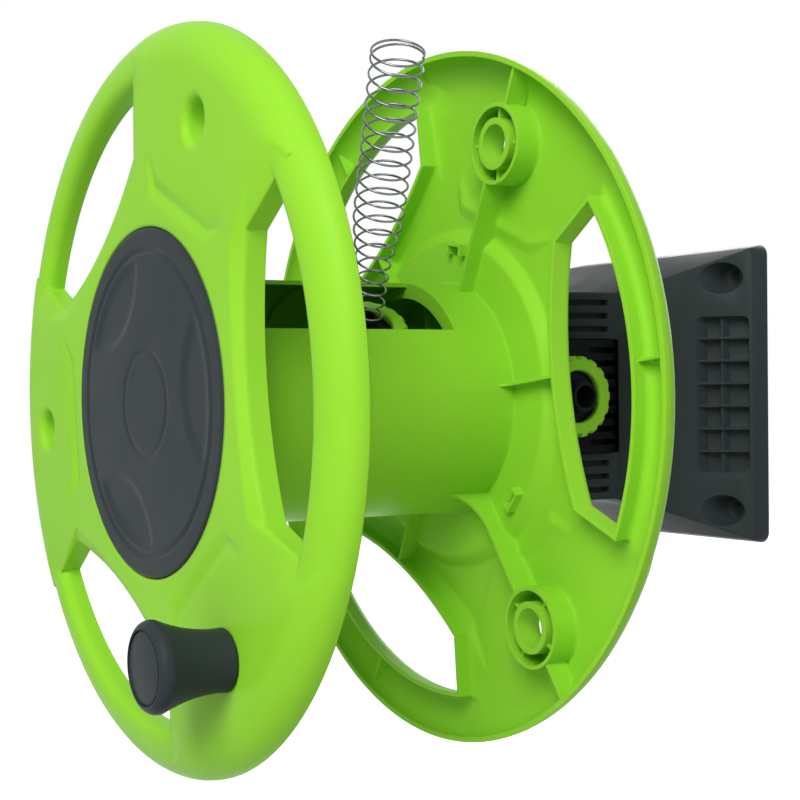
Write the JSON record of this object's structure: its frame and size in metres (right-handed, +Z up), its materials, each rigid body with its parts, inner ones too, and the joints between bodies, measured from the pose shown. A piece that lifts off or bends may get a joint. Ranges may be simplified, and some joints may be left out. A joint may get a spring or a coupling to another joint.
{
  "type": "wall-mounted hose reel",
  "caption": "Wall-mounted garden hose reel: ribbed spool with crank knob, rotary water union, spring hose guard and a bracket that swings on a vertical pin.",
  "frame": {"origin": "centre of the wall plate's back face, where it meets the wall", "axes": "+Z up, +Y into the wall, so the spool stands out along -Y; +X to the right of someone facing the reel"},
  "size_m": [0.39, 0.3979, 0.39],
  "materials": {
    "lime_plastic": "moulded satin",
    "graphite_plastic": "fine-grained moulded",
    "black_plastic": "moulded",
    "zinc_steel": "zinc plated",
    "seal_rubber": "smooth"
  },
  "bodies": {
    "bracket": {"wall_bracket": "graphite_plastic", "hinge_pin": "black_plastic"},
    "swivel": {"swivel_block": "black_plastic", "water_axle": "black_plastic", "axle_seal": "seal_rubber", "axle_pin": "zinc_steel", "thrust_washer": "zinc_steel", "union_o_rings": "seal_rubber", "inlet_tail": "black_plastic", "axle_washer": "zinc_steel", "axle_ring": "zinc_steel"},
    "spool": {"front_half": "lime_plastic", "rear_half": "lime_plastic", "centre_cap": "graphite_plastic", "drum_screws": "zinc_steel", "front_bush": "black_plastic", "rear_bush": "black_plastic", "outlet_union": "black_plastic", "outlet_tail": "black_plastic", "hose_spring": "zinc_steel", "knob_stud": "black_plastic", "knob_stud_nut": "black_plastic", "knob_retainer": "zinc_steel"},
    "knob": {"knob_grip": "graphite_plastic", "knob_end_disc": "graphite_plastic"},
    "inlet_coupling": {"inlet_nut": "lime_plastic"},
    "outlet_coupling": {"outlet_nut": "lime_plastic"}
  },
  "joints": [
    {"name": "bracket_swing", "type": "hinge", "parent": "bracket", "child": "swivel", "pos_m": [0, -0.0812, 0], "axis": [0, 0, 1], "range_deg": [-40, 40]},
    {"name": "reel_spin", "type": "hinge", "parent": "swivel", "child": "spool", "pos_m": [0, -0.25, 0], "axis": [0, 1, 0], "continuous": true},
    {"name": "knob_spin", "type": "hinge", "parent": "spool", "child": "knob", "pos_m": [0.08817, -0.37, -0.12135], "axis": [0, 1, 0], "continuous": true},
    {"name": "inlet_nut_turn", "type": "hinge", "parent": "swivel", "child": "inlet_coupling", "pos_m": [0.04, -0.1132, 0], "axis": [1, 0, 0], "continuous": true},
    {"name": "outlet_nut_turn", "type": "hinge", "parent": "spool", "child": "outlet_coupling", "pos_m": [0, -0.2279, 0], "axis": [0.5773, -0.2267, 0.7845], "continuous": true}
  ]
}
